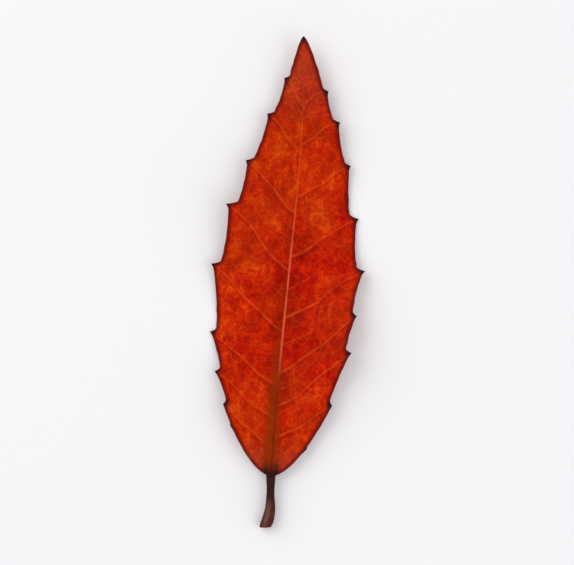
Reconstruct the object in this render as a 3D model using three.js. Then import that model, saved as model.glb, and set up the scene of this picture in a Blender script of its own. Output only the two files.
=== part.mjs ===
// An autumn leaf lying with its upper face up: a toothed blade whose midrib and side veins stand out
// below, running down into a short leaf stalk. It grew as one piece, so it is one solid.
// Millimetres, +Z up, +Y from the stalk to the tip. Stations are measured along the leaf from the
// base of the blade, so the stalk has negative stations.
import * as THREE from "three";

const { clamp, lerp, smoothstep } = THREE.MathUtils;

// Blade
const BLADE_LENGTH = 79;
const BLADE_THICKNESS = 0.7;
const HALF_WIDTH = 12.5;
const MIDRIB_BOW = 1.0;
const MIDRIB_BOW_SKEW = 2.2;
const BASE_ROUNDING = 0.56;
const BASE_SPREAD = 1.5;
const TIP_ROUNDING = 0.7;

// Marginal teeth from base to tip: station of the point, its reach from the midrib, depth of its notch
const LEFT_TEETH = [
  [12.2, 9.6, 0.4], [17.9, 11.6, 0.8], [24.9, 13.1, 1.0], [37.1, 14.1, 1.7],
  [48.0, 12.5, 2.1], [56.1, 9.7, 1.5], [64.7, 6.4, 1.4], [71.3, 3.5, 1.0],
];
const RIGHT_TEETH = [
  [13.3, 10.0, 0.4], [23.0, 12.6, 1.0], [29.7, 12.9, 0.7], [37.8, 13.6, 1.6],
  [47.1, 11.5, 1.7], [56.5, 9.2, 1.2], [64.1, 6.8, 1.4], [69.5, 4.5, 1.0],
];
const NOTCH_RISE = 0.5;
const NOTCH_STEP = 0.06;
const TOOTH_HOOK = 1.8;
const TOOTH_FADE = 8;

// Side veins: one to each tooth, leaving the midrib below it and sweeping forward to its point
const VEIN_SWEEP = 10.4;
const VEIN_SWEEP_PEAK = 0.85;
const VEIN_CURVE = 1.3;
const VEIN_STAGGER = 0.25;
const VEIN_FLANK = 0.06;
const VEIN_RIDGE = 0.3;
const VEIN_GROOVE = 0.08;
const VEIN_TAPER = 0.6;
const QUILTING = 0.03;

// Midrib and stalk: station, half width and depth below the middle of the blade. The stalk's round top
// flattens into the blade between two stations.
const RIB = [
  [-9.5, 1.04, 0.94], [-8.5, 1.14, 1.05], [-6.3, 0.96, 0.92], [-3.0, 0.72, 0.74], [0, 0.84, 0.94],
  [20, 0.75, 0.86], [50, 0.5, 0.6], [BLADE_LENGTH, 0.2, 0.36],
];
const RIB_GROOVE = 0.2;
const STALK_FLATTENS = [-1, 6];
const STALK_BEND = [[-9.5, -0.32], [-8.0, 0.06], [-6.0, 0.32], [-3.5, 0.2], [0, 0]];

// How the leaf lies: height of the midrib along it, the fold along the midrib and a slow wave of each
// margin, which dips to the surface once on either side
const LIE = [[-9.5, 0.9], [0, 1.5], [22, 0.75], [48, 0.48], [66, 1.4], [BLADE_LENGTH, 3.3]];
const FOLD_SLOPE = 0.12;
const FOLD_ROUNDING = 0.8;
const WAVE_HEIGHT = 1.95;
const WAVES = 1.6;
const LEFT_DIP = 0.33;
const RIGHT_DIP = 0.62;

// Rows of the skin: stations along the stalk, then places within each interval between two teeth
const STALK_ROWS = [-9.5, -9.2, -8.5, -7.6, -6.3, -4.8, -3.4, -2.0, -0.8];
const BASE_ROWS = [0, 0.1, 0.2, 0.31, 0.42, 0.54, 0.67, 0.8, 1 - VEIN_FLANK];
const BLADE_ROWS = [0, VEIN_FLANK, 0.19, 0.25, 0.31, 0.47, 0.63, 0.79, 1 - VEIN_FLANK];
const RIB_COLUMNS = [0, 0.55, 1];
const BLADE_COLUMNS = [0.22, 0.45, 0.68, 0.88, 1];
const RIB_SHARE_LIMIT = 0.45;

const TIP_ROW = LEFT_TEETH.length + 1;
const SIDES = {
  left: { sign: -1, dip: LEFT_DIP, stagger: 0, teeth: LEFT_TEETH },
  right: { sign: 1, dip: RIGHT_DIP, stagger: VEIN_STAGGER, teeth: RIGHT_TEETH },
};

// A smooth run of a value along the leaf through [station, value] points
function curveThrough(points) {
  const last = points.length - 1;
  const slope = (i) => {
    const [before, after] = [points[Math.max(i - 1, 0)], points[Math.min(i + 1, last)]];
    return (after[1] - before[1]) / (after[0] - before[0]);
  };
  return (station) => {
    let i = 0;
    while (i < last - 1 && station > points[i + 1][0]) i += 1;
    const span = points[i + 1][0] - points[i][0];
    const f = clamp((station - points[i][0]) / span, 0, 1);
    const rise = f * f * (3 - 2 * f);
    const bend = f * (1 - f) * span * ((1 - f) * slope(i) - f * slope(i + 1));
    return lerp(points[i][1], points[i + 1][1], rise) + bend;
  };
}

const ribHalfWidth = curveThrough(RIB.map(([station, halfWidth]) => [station, halfWidth]));
const ribDepth = curveThrough(RIB.map(([station, , depth]) => [station, depth]));
const ribHeight = curveThrough(LIE);
const stalkBend = curveThrough(STALK_BEND);

// Sideways place of the midrib at a station
function midrib(station) {
  if (station <= 0) return stalkBend(station);
  return MIDRIB_BOW * Math.sin(Math.PI * (station / BLADE_LENGTH) ** MIDRIB_BOW_SKEW);
}

// Half width of the stalk where its round side meets the blade's thin edge
function stalkHalfWidth(station) {
  const edge = BLADE_THICKNESS / 2 / ribDepth(station);
  return ribHalfWidth(station) * Math.sqrt(1 - edge * edge);
}

// The corners of one margin: row, station, reach of the notch floors, and the tooth beyond them
function marginCorners({ teeth, stagger }) {
  const corners = [];
  teeth.forEach(([station, reach, depth], k) => {
    const row = k + 1 + stagger;
    const floor = reach - depth;
    corners.push({ row, station, floor, tooth: depth });
    corners.push({ row: row + NOTCH_STEP, station: station + NOTCH_RISE, floor, tooth: 0 });
  });
  return corners;
}

for (const side of Object.values(SIDES)) side.corners = marginCorners(side);

// The margin of one side where a row meets it. Each tooth rises in a hollow curve and ends in a step.
function margin(side, row) {
  const { corners } = side;
  const first = corners[0];
  const last = corners[corners.length - 1];
  if (row <= first.row) {
    const f = row / first.row;
    const spread = f ** (BASE_SPREAD * BASE_ROUNDING);
    const stalk = stalkHalfWidth(0) * (1 - f);
    return {
      station: first.station * f ** BASE_SPREAD,
      floor: Math.hypot(first.floor * spread, stalk),
      tooth: first.tooth * spread,
    };
  }
  if (row >= last.row) {
    const f = (row - last.row) / (TIP_ROW - last.row);
    return {
      station: lerp(last.station, BLADE_LENGTH, f),
      floor: last.floor * (1 - f) ** TIP_ROUNDING,
      tooth: 0,
    };
  }
  const i = corners.findIndex((corner) => corner.row >= row);
  const [a, b] = [corners[i - 1], corners[i]];
  const f = (row - a.row) / (b.row - a.row);
  return {
    station: lerp(a.station, b.station, f),
    floor: lerp(a.floor, b.floor, f),
    tooth: a.tooth * (1 - f) + b.tooth * f ** TOOTH_HOOK,
  };
}

// Station at which a row crosses the midrib, behind the place where it meets the margins
function midribStation(row) {
  const mean = (margin(SIDES.left, row).station + margin(SIDES.right, row).station) / 2;
  return mean - VEIN_SWEEP * Math.sin(Math.PI * (mean / BLADE_LENGTH) ** VEIN_SWEEP_PEAK);
}

// Station and distance from the midrib of one point of a row; the teeth fade inward from the margin
function planPoint(row, side, share) {
  if (row < 0) return { station: row, reach: share * stalkHalfWidth(row) };
  const edge = margin(side, row);
  const start = midribStation(row);
  return {
    station: lerp(start, edge.station, share ** VEIN_CURVE),
    reach: share * edge.floor + share ** TOOTH_FADE * edge.tooth,
  };
}

// How strongly a row lies on one of the side veins: 1 along the vein, 0 beside it
function veinStrength(row, side) {
  if (row < 0) return 0;
  const place = row - side.stagger;
  const nearest = clamp(Math.round(place), 1, side.teeth.length);
  return Math.max(0, 1 - Math.abs(place - nearest) / VEIN_FLANK);
}

// Distance between the two side veins that a row lies between, where they leave the midrib
function veinSpacing(row, side) {
  const before = Math.floor(row - side.stagger) + side.stagger;
  const [from, to] = [before, before + 1].map((vein) => midribStation(clamp(vein, 0, TIP_ROW)));
  return to - from;
}

// Heights of the upper and lower face at one point
function faces(row, side, share, { station, reach }) {
  const half = BLADE_THICKNESS / 2;
  const along = clamp(station / BLADE_LENGTH, 0, 1);
  const onBlade = smoothstep(station, ...STALK_FLATTENS);

  const fold = FOLD_SLOPE * (Math.hypot(reach, FOLD_ROUNDING) - FOLD_ROUNDING);
  const lift = WAVE_HEIGHT * (reach / HALF_WIDTH) ** 2;
  const wave = -lift * Math.cos(2 * Math.PI * WAVES * (along - side.dip));
  const swelling = QUILTING * veinSpacing(row, side) * Math.sin(Math.PI * (row - side.stagger)) ** 2;
  const quilt = 4 * share * (1 - share) * swelling * onBlade;
  const middle = Math.max(ribHeight(station) + fold + wave + quilt, half);

  const acrossRib = reach / ribHalfWidth(station);
  const round = Math.sqrt(Math.max(0, 1 - acrossRib ** 2));
  const rib = ribDepth(station);
  const ribTop = lerp(rib, half, onBlade);
  const groove = RIB_GROOVE * onBlade * (1 - along) * Math.exp(-(acrossRib ** 2));
  const vein = veinStrength(row, side) * (1 - VEIN_TAPER * share) * onBlade;

  const top = middle + Math.max(half, ribTop * round) - groove - VEIN_GROOVE * vein;
  const bottom = middle - Math.max(half + VEIN_RIDGE * vein, rib * round);
  return [top, Math.max(bottom, 0)];
}

// One row of points from the left margin to the right: upper and lower face of each column
function skinRow(row) {
  const points = [];
  for (const side of [SIDES.left, SIDES.right]) {
    const halfWidth = planPoint(row, side, 1).reach;
    const start = row < 0 ? row : midribStation(row);
    const ribShare = Math.min(ribHalfWidth(start) / halfWidth, RIB_SHARE_LIMIT);
    const shares = [
      ...RIB_COLUMNS.map((f) => f * ribShare),
      ...BLADE_COLUMNS.map((f) => lerp(ribShare, 1, f)),
    ];
    const half = shares.map((share) => {
      const plan = planPoint(row, side, share);
      const [top, bottom] = faces(row, side, share, plan);
      return { x: midrib(plan.station) + side.sign * plan.reach, y: plan.station, top, bottom };
    });
    points.push(...(side.sign < 0 ? half.reverse() : half.slice(1)));
  }
  return points;
}

// The closed skin: both faces are split alike, with walls along the margins and across the cut stalk
function leafSkin() {
  const rows = [...STALK_ROWS, ...BASE_ROWS];
  for (let tooth = 1; tooth < TIP_ROW; tooth += 1) {
    rows.push(...BLADE_ROWS.map((place) => tooth + place));
  }
  const grid = rows.map(skinRow);
  const columns = grid[0].length;
  const edge = columns - 1;
  const tip = grid.length;

  const positions = [];
  for (const { x, y, top, bottom } of grid.flat()) positions.push(x, y, top, x, y, bottom);
  const [tipTop, tipBottom] = faces(TIP_ROW, SIDES.left, 0, { station: BLADE_LENGTH, reach: 0 });
  const tipX = midrib(BLADE_LENGTH);
  positions.push(tipX, BLADE_LENGTH, tipTop, tipX, BLADE_LENGTH, tipBottom);

  const upper = (i, c) => 2 * (i === tip ? tip * columns : i * columns + c);
  const lower = (i, c) => upper(i, c) + 1;
  const triangles = [];
  const quad = (a, b, c, d) => {
    for (const corners of [[a, b, c], [a, c, d]]) {
      if (new Set(corners).size === 3) triangles.push(...corners);
    }
  };

  for (let i = 0; i < tip; i += 1) {
    for (let c = 0; c < edge; c += 1) {
      quad(upper(i, c), upper(i, c + 1), upper(i + 1, c + 1), upper(i + 1, c));
      quad(lower(i + 1, c + 1), lower(i, c + 1), lower(i, c), lower(i + 1, c));
    }
    quad(lower(i, edge), lower(i + 1, edge), upper(i + 1, edge), upper(i, edge));
    quad(lower(i + 1, 0), lower(i, 0), upper(i, 0), upper(i + 1, 0));
  }
  for (let c = 0; c < edge; c += 1) {
    quad(lower(0, c), lower(0, c + 1), upper(0, c + 1), upper(0, c));
  }

  const skin = new THREE.BufferGeometry();
  skin.setAttribute("position", new THREE.Float32BufferAttribute(positions, 3));
  skin.setIndex(triangles);
  return skin;
}

const skin = leafSkin();
skin.computeBoundingBox();
const middle = skin.boundingBox.getCenter(new THREE.Vector3());
skin.translate(-middle.x, -middle.y, -skin.boundingBox.min.z);
skin.computeVertexNormals();

const leaf = new THREE.Mesh(skin, new THREE.MeshStandardMaterial({ color: 0xb42d08, roughness: 0.55 }));
leaf.name = "leaf";

const group = new THREE.Group();
group.name = "autumn_leaf";
group.add(leaf);

export default group;
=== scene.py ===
# Dresses the autumn leaf: a fine skin with veins, net and toothed rim takes the place of the plain solid,
# and procedural materials colour its upper face, its underside and its stalk.
# Lengths are in millimetres, in the leaf's own terms, and become metres when the skin is made.
# Stations run along the leaf from the base of the blade to the tip, so the stalk has negative stations.
import math

import bpy
import numpy as np
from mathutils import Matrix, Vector, kdtree


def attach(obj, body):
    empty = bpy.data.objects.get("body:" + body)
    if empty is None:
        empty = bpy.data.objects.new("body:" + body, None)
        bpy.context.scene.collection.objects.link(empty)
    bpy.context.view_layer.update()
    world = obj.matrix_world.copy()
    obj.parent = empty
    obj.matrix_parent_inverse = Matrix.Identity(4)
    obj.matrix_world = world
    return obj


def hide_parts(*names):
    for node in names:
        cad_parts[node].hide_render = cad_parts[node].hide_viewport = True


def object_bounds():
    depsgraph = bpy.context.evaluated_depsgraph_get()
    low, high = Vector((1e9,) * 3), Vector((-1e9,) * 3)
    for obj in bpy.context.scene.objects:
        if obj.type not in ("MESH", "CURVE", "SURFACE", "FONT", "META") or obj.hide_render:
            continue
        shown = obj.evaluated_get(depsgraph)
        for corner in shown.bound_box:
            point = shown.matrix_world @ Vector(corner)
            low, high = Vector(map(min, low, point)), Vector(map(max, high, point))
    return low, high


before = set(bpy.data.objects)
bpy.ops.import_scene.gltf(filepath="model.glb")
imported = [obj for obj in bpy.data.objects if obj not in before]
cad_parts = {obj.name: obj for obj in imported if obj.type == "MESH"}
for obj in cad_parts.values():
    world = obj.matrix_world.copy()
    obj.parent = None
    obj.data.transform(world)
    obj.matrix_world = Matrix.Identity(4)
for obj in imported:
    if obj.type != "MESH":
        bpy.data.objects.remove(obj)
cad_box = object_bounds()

MM = 0.001
TINY = 1e-9

# Blade, with the outline of the solid but as thin as a real leaf
BLADE_LENGTH = 79.0
BLADE_HALF = 0.2
TIP_HALF = 0.05
HALF_WIDTH = 12.5
MIDRIB_BOW = 1.0
MIDRIB_BOW_SKEW = 2.2
BASE_ROUNDING = 0.56
BASE_SPREAD = 1.5
TIP_ROUNDING = 0.7

# Teeth from base to tip: station of the point, its reach from the midrib and the depth of its notch
LEFT_TEETH = (
    (12.2, 9.6, 0.4), (17.9, 11.6, 0.8), (24.9, 13.1, 1.0), (37.1, 14.1, 1.7),
    (48.0, 12.5, 2.1), (56.1, 9.7, 1.5), (64.7, 6.4, 1.4), (71.3, 3.5, 1.0),
)
RIGHT_TEETH = (
    (13.3, 10.0, 0.4), (23.0, 12.6, 1.0), (29.7, 12.9, 0.7), (37.8, 13.6, 1.6),
    (47.1, 11.5, 1.7), (56.5, 9.2, 1.2), (64.1, 6.8, 1.4), (69.5, 4.5, 1.0),
)
TIP_ROW = len(LEFT_TEETH) + 1.0

# Form of a tooth: a rounded notch behind it, and a hollow flank that ends in a thorn
NOTCH_RISE = 0.9
NOTCH_STEP = 0.09
NOTCH_ROUNDING = 2.5
TOOTH_HOOK = 1.8
TOOTH_FADE = 8.0
THORN_SHARE = 0.2
THORN_LENGTH = 0.9
THORN_TAPER = 1.5

# Smaller point of each margin below the teeth: station and height, the lengths of its rise and its fall,
# and how much less than a tooth's its dry spot spreads
LEFT_BASE_POINT = (8.4, 0.2)
RIGHT_BASE_POINT = (5.1, 0.26)
BASE_POINT_RISE = 1.4
BASE_POINT_FALL = 0.5
BASE_POINT_SPOT = 0.5

# Side veins: one to each tooth, leaving the midrib below it and sweeping forward to its point
VEIN_SWEEP = 10.4
VEIN_SWEEP_PEAK = 0.85
VEIN_CURVE = 1.3
VEIN_STAGGER = 0.25
VEIN_LEAST_SLOPE = 0.66
QUILTING = 0.03

# Midrib and stalk: station, half width and depth below the middle of the blade
STALK_LENGTH = 9.5
RIB = (
    (-9.5, 1.04, 0.94), (-8.5, 1.14, 1.05), (-6.3, 0.96, 0.92), (-3.0, 0.72, 0.74), (0.0, 0.84, 0.94),
    (20.0, 0.75, 0.86), (50.0, 0.5, 0.6), (BLADE_LENGTH, 0.2, 0.36),
)
RIB_GROOVE = 0.2
STALK_FLATTENS = (-1.0, 6.0)
STALK_BEND = ((-9.5, -0.32), (-8.0, 0.06), (-6.0, 0.32), (-3.5, 0.2), (0.0, 0.0))
STALK_EDGE = 0.08

# Channel along the top of the stalk: depth, width as a share of the rib, and the run in which it begins
STALK_GROOVE = 0.16
STALK_GROOVE_WIDTH = 0.4
STALK_GROOVE_RUN = 2.0

# Cut end of the stalk: the slant, where across the stalk it starts and how far along it reaches, the size
# and rounding of the end, and the rings of the sunken scar (size, depth)
CUT_SLANT = 0.14
CUT_SLANT_START = -0.2
CUT_SLANT_RUN = 2.0
CUT_SIZE = 0.84
CUT_ROUNDING = 0.5
SCAR_RINGS = ((0.3, 0.16), (0.62, 0.15), (0.82, 0.05))
SCAR_STATION = -10.5

# How the leaf lies: height of the midrib, fold along it and slow wave of each margin
LIE = ((-9.5, 0.9), (0.0, 1.5), (22.0, 0.75), (48.0, 0.48), (66.0, 1.4), (BLADE_LENGTH, 3.3))
FOLD_SLOPE = 0.12
FOLD_ROUNDING = 0.8
WAVE_HEIGHT = 1.95
WAVES = 1.6
LEFT_DIP = 0.33
RIGHT_DIP = 0.62

# Relief of the side veins: half widths at the midrib and the margin, sway, and where a vein fades out
VEIN_WIDTH = (0.3, 0.15)
VEIN_SWAY = 0.2
VEIN_SWAY_TURNS = 1.4
VEIN_SWAY_STEP = 0.37
VEIN_GROOVE = 0.06
VEIN_RIDGE = 0.24
VEIN_CLEAR = (1.0, 1.6)
VEIN_RIM_CLEAR = (0.1, 1.2)

# Weaker veins between them: strength and sway as against a side vein's, how sway and place change from
# one to the next, and the shares of the row between which they fade out
BETWEEN_WIDTH = 0.14
BETWEEN_STRENGTH = 0.5
BETWEEN_SWAY = 2.0
BETWEEN_SWAY_TURNS = 1.1
BETWEEN_SWAY_STEP = 0.61
BETWEEN_SHIFT = 0.07
BETWEEN_SHIFT_STEP = 7.0
BETWEEN_FADES = (0.3, 0.85)
BETWEEN_FIRST_ROW = 0.3

# Gentle crumple of the blade
CRUMPLE = 0.08
CRUMPLE_WAVES = 9
CRUMPLE_LENGTHS = (5.0, 13.0)
CRUMPLE_CLEAR_OF_RIB = (0.5, 4.0)
SEED = 12

# Rim: unevenness of the margin between its teeth, rounding of the edge, and a hard bead along it that
# swells at the points of the teeth
MARGIN_WOBBLE = 0.11
WOBBLE_LENGTHS = (3.7, 2.3)
WOBBLE_CLEAR_OF_ENDS = (0.5, 4.0)
WOBBLE_CLEAR_OF_TEETH = 4.0
EDGE_ROUNDING = 0.2
EDGE_THINNEST = 0.3
RIM_BEAD = 0.045
RIM_BEAD_PLACE = 0.22
RIM_BEAD_WIDTH = 0.16
TOOTH_BEAD = 0.06
TOOTH_BEAD_SPREAD = 0.6
BEAD_CLEAR_OF_EDGE = 0.12
RIM_CLEAR_OF_STALK = 1.8
RIM_CLEAR_SLOPE = 4.0

# Flushes of the upper face: station and side of the middle, spread along and across, and how far it
# turns orange, or red where negative
FLUSHES = (
    (52.0, 4.5, 9.0, 4.0, 0.22), (31.0, 2.5, 9.0, 3.5, -0.14), (26.0, 2.6, 5.0, 3.0, -0.14),
    (18.0, 3.5, 3.0, 3.0, 0.14), (13.0, 1.2, 3.0, 0.8, -0.18), (37.0, -1.8, 4.0, 1.5, -0.12),
    (37.0, -6.0, 5.0, 5.0, -0.06), (22.0, -5.5, 6.0, 4.0, -0.12), (70.0, 0.5, 6.0, 3.0, -0.06),
)

# Fineness of the skin
ROW_STEP = 0.23
FEWEST_ROWS = 3
NOTCH_ROWS = 6
RIB_COLUMNS = 8
RIB_SHARE_LIMIT = 0.45
BLADE_COLUMNS = 37
BLADE_SHARE = 0.965
RIM_COLUMNS = (0.976, 0.986, 0.994, 1.0)
OUTLINE_STEP = 0.04

# Materials of the skin, and what it keeps for them at its points
UPPER_SLOT, UNDER_SLOT, STALK_SLOT = 0, 1, 2
STALK_COLOUR_ENDS = -0.2
MEASURES = (
    "station", "midrib", "edge", "tooth_tip", "flush",
    "side_vein", "side_vein_near", "between_vein", "between_vein_near",
)

# Picture: the leaf leans this far clockwise in it and fills this share of its height; distance in metres
LEAN_DEG = 4.27
PICTURE_SHARE = 0.87
PICTURE_SIZE = (574, 565)
CAMERA_DISTANCE = 0.7

# Studio, in metres: place, size and watts of each lamp, brightness of the surround, and the floor
KEY_LIGHT = ((-0.6, 0.35, 0.5), 0.7, 3.6)
FILL_LIGHT = ((0.6, -0.25, 0.45), 0.9, 2.5)
SURROUND = 0.64
FLOOR_REACH = 6.0
FLOOR_FINISH = {"Base Color": (0.9, 0.885, 0.905, 1.0), "Roughness": 0.9, "Specular IOR Level": 0.1}


class Side:
    """One half of the blade: which way it lies, where its margin dips, and its margin's corners."""

    def __init__(self, sign, dip, stagger, teeth, base_point):
        self.sign = sign
        self.dip = dip
        self.stagger = stagger
        self.base_point = base_point
        self.count = len(teeth)
        self.points = [(station, reach) for station, reach, _ in teeth]
        corners = []
        for k, (station, reach, depth) in enumerate(teeth):
            row = k + 1 + stagger
            corners.append((row, station, reach - depth, depth))
            corners.append((row + NOTCH_STEP, station + NOTCH_RISE, reach - depth, 0.0))
        self.rows, self.stations, self.floors, self.teeth = np.array(corners).T


LEFT = Side(-1, LEFT_DIP, 0.0, LEFT_TEETH, LEFT_BASE_POINT)
RIGHT = Side(1, RIGHT_DIP, VEIN_STAGGER, RIGHT_TEETH, RIGHT_BASE_POINT)


def smooth(value, low, high):
    """0 at low and before it, 1 at high and past it, and a smooth rise between."""
    f = np.clip((value - low) / (high - low), 0.0, 1.0)
    return f * f * (3.0 - 2.0 * f)


def mix(a, b, f):
    return a + (b - a) * f


def bell(distance):
    """1 at no distance, falling off smoothly to either side."""
    return np.exp(-(distance ** 2))


def arch(share):
    """0 at the midrib and at the margin, and 1 halfway between them."""
    return 4 * share * (1 - share)


def curve_through(points, at):
    """A smooth run of a value along the leaf through (station, value) points."""
    station, value = np.array(points, dtype=float).T
    slope = np.gradient(value, station)
    slope[1:-1] = (value[2:] - value[:-2]) / (station[2:] - station[:-2])
    i = np.clip(np.searchsorted(station, at) - 1, 0, len(station) - 2)
    span = station[i + 1] - station[i]
    f = np.clip((at - station[i]) / span, 0.0, 1.0)
    bend = f * (1 - f) * span * ((1 - f) * slope[i] - f * slope[i + 1])
    return mix(value[i], value[i + 1], f * f * (3 - 2 * f)) + bend


def rib_half_width(station):
    return curve_through([(s, width) for s, width, _ in RIB], station)


def rib_depth(station):
    return curve_through([(s, depth) for s, _, depth in RIB], station)


def midrib_line(station):
    """Sideways place of the midrib."""
    along = np.clip(station / BLADE_LENGTH, 0.0, 1.0)
    bow = MIDRIB_BOW * np.sin(np.pi * along ** MIDRIB_BOW_SKEW)
    return np.where(station <= 0, curve_through(STALK_BEND, station), bow)


def stalk_half_width(station):
    """Half width of the stalk where its round side meets its thin edge."""
    return rib_half_width(station) * np.sqrt(1 - (STALK_EDGE / rib_depth(station)) ** 2)


def margin(side, row):
    """Station, reach of the notch floors and tooth beyond them, where a row meets the margin."""
    row = np.maximum(row, 0.0)
    i = np.clip(np.searchsorted(side.rows, row) - 1, 0, len(side.rows) - 2)
    f = np.clip((row - side.rows[i]) / (side.rows[i + 1] - side.rows[i]), 0.0, 1.0)
    station = mix(side.stations[i], side.stations[i + 1], f)
    floor = mix(side.floors[i], side.floors[i + 1], f)
    before_point = (1 - f) * (side.stations[i + 1] - side.stations[i])
    thorn = np.clip(1.0 - before_point / THORN_LENGTH, 0.0, 1.0) ** THORN_TAPER
    flank = mix(f ** TOOTH_HOOK, thorn, THORN_SHARE)
    tooth = side.teeth[i] * (1 - f) ** NOTCH_ROUNDING + side.teeth[i + 1] * flank

    f = np.clip(row / side.rows[0], 0.0, 1.0)
    spread = f ** (BASE_SPREAD * BASE_ROUNDING)
    at_base = row <= side.rows[0]
    stalk = stalk_half_width(np.zeros(1)) * (1 - f)
    station = np.where(at_base, side.stations[0] * f ** BASE_SPREAD, station)
    floor = np.where(at_base, np.hypot(side.floors[0] * spread, stalk), floor)
    tooth = np.where(at_base, side.teeth[0] * spread, tooth)

    f = np.clip((row - side.rows[-1]) / (TIP_ROW - side.rows[-1]), 0.0, 1.0)
    at_tip = row >= side.rows[-1]
    station = np.where(at_tip, mix(side.stations[-1], BLADE_LENGTH, f), station)
    floor = np.where(at_tip, side.floors[-1] * (1 - f) ** TIP_ROUNDING, floor)
    tooth = np.where(at_tip, 0.0, tooth)
    return station, floor, tooth


def midrib_station(row):
    """Station at which a row crosses the midrib, behind the place where it meets the margins."""
    mean = (margin(LEFT, row)[0] + margin(RIGHT, row)[0]) / 2
    return mean - VEIN_SWEEP * np.sin(np.pi * (mean / BLADE_LENGTH) ** VEIN_SWEEP_PEAK)


def wobble(side, station, tooth):
    """How far the margin draws in unevenly between its teeth."""
    start, full = WOBBLE_CLEAR_OF_ENDS
    clear_of_ends = smooth(station, start, full) * smooth(station, BLADE_LENGTH, BLADE_LENGTH - full)
    waves = [np.sin(2 * np.pi * station / length + side.sign * length) for length in WOBBLE_LENGTHS]
    inward = MARGIN_WOBBLE * (np.mean(waves, axis=0) - 1.0) / 2
    return inward * clear_of_ends / (1.0 + (WOBBLE_CLEAR_OF_TEETH * tooth) ** 2)


def base_point_height(side, station):
    """How far the margin stands out at its small point below the teeth."""
    at, height = side.base_point
    rise = np.clip(1.0 - (at - station) / BASE_POINT_RISE, 0.0, 1.0) ** TOOTH_HOOK
    fall = np.clip(1.0 - (station - at) / BASE_POINT_FALL, 0.0, 1.0)
    return height * np.where(station < at, rise, fall)


def plan(side, row, share):
    """Station and distance from the midrib of the points of the rows."""
    edge, floor, tooth = margin(side, row)
    beyond_floor = tooth + base_point_height(side, edge) + wobble(side, edge, tooth)
    blade_station = mix(midrib_station(row), edge, share ** VEIN_CURVE)
    blade_reach = share * floor + share ** TOOTH_FADE * beyond_floor
    station = np.where(row < 0, row, blade_station)
    reach = np.where(row < 0, share * stalk_half_width(row), blade_reach)
    return station, reach


def base_point_end(side):
    """Station and reach of the end of the small point below the teeth."""
    row = side.rows[:1] * (side.base_point[0] / side.stations[0]) ** (1.0 / BASE_SPREAD)
    station, reach = plan(side, row, np.ones(1))
    return station[0], reach[0]


def across_leaf(side, station, reach):
    """Sideways place and station of a point at one side of the midrib."""
    return float(midrib_line(np.array(station)) + side.sign * reach), station


def skin_rows():
    """Rows close together all along the leaf, with one on every corner of the two margins."""
    corners = np.unique(np.concatenate([[0.0, TIP_ROW], LEFT.rows, RIGHT.rows]))
    rows = [np.arange(-STALK_LENGTH, -ROW_STEP / 2, ROW_STEP)]
    for a, b in zip(corners[:-1], corners[1:]):
        ends = np.array([a, b])
        travel = max(np.ptp(margin(side, ends)[0]) for side in (LEFT, RIGHT))
        in_notch = b - a < NOTCH_STEP + TINY
        fewest = NOTCH_ROWS if in_notch else FEWEST_ROWS
        count = max(fewest, math.ceil(travel / ROW_STEP))
        rows.append(np.linspace(a, b, count, endpoint=False))
    return np.concatenate(rows)[:, None]


def skin_shares(side, rows):
    """Columns from the midrib to the margin: close together over the rib and at the rim."""
    half_width = plan(side, rows, np.ones_like(rows))[1]
    rib = rib_half_width(np.where(rows < 0, rows, midrib_station(rows)))
    rib_share = np.minimum(rib / np.maximum(half_width, TINY), RIB_SHARE_LIMIT)
    over_rib = rib_share * np.linspace(0.0, 1.0, RIB_COLUMNS)
    over_blade = np.concatenate([np.linspace(0.0, BLADE_SHARE, BLADE_COLUMNS)[1:], RIM_COLUMNS])
    return np.concatenate([over_rib, mix(rib_share, 1.0, over_blade)], axis=1)


def vein_pitch(rows, station, reach):
    """Millimetres across the side veins for one step from row to row."""
    along_row = [np.gradient(a, rows[:, 0], axis=0) for a in (station, reach)]
    across = [np.gradient(a, axis=1) for a in (station, reach)]
    length = np.hypot(*across) + TINY
    return np.abs(along_row[0] * across[1] - along_row[1] * across[0]) / length


def vein_drops(side):
    """How much lower than its row each side vein leaves the midrib, so that none lies square to it."""
    station, reach = np.array(side.points).T
    sweep = station - midrib_station(np.arange(side.count) + 1.0 + side.stagger)
    return np.maximum(VEIN_LEAST_SLOPE * reach - sweep, 0.0)


def vein_lines(side, rows, share, reach, pitch):
    """Distances from the nearest side vein and the nearest weaker vein between them, in half widths.

    A distance changes sign halfway between two veins, so each comes with how near its vein is, 0 to 1.
    """
    place = rows - side.stagger
    sway_room = VEIN_SWAY * arch(share) * reach[:, -1:] / HALF_WIDTH

    nearest = np.clip(np.round(place), 1, side.count)
    turns = VEIN_SWAY_TURNS * share + VEIN_SWAY_STEP * nearest
    sway = sway_room * np.sin(2 * np.pi * turns + side.sign)
    drop = vein_drops(side)[nearest.astype(int) - 1] * (1 - share) ** 2
    strong = (place - nearest) * pitch + sway + drop
    strong_near = 1.0 - smooth(np.abs(strong), *VEIN_CLEAR)

    interval = np.floor(place)
    halfway = interval + 0.5 + BETWEEN_SHIFT * np.sin(BETWEEN_SHIFT_STEP * interval + side.sign)
    turns = BETWEEN_SWAY_TURNS * share + BETWEEN_SWAY_STEP * interval
    sway = BETWEEN_SWAY * sway_room * np.sin(2 * np.pi * turns)
    weak = (place - halfway) * pitch + sway
    fades = 1.0 - smooth(share, *BETWEEN_FADES)
    weak_near = fades * (1.0 - smooth(np.abs(weak), *VEIN_CLEAR))
    return {
        "side_vein": strong / mix(*VEIN_WIDTH, share),
        "side_vein_near": np.where(rows > 0, strong_near, 0.0),
        "between_vein": weak / BETWEEN_WIDTH,
        "between_vein_near": np.where(rows > BETWEEN_FIRST_ROW, weak_near, 0.0),
    }


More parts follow.
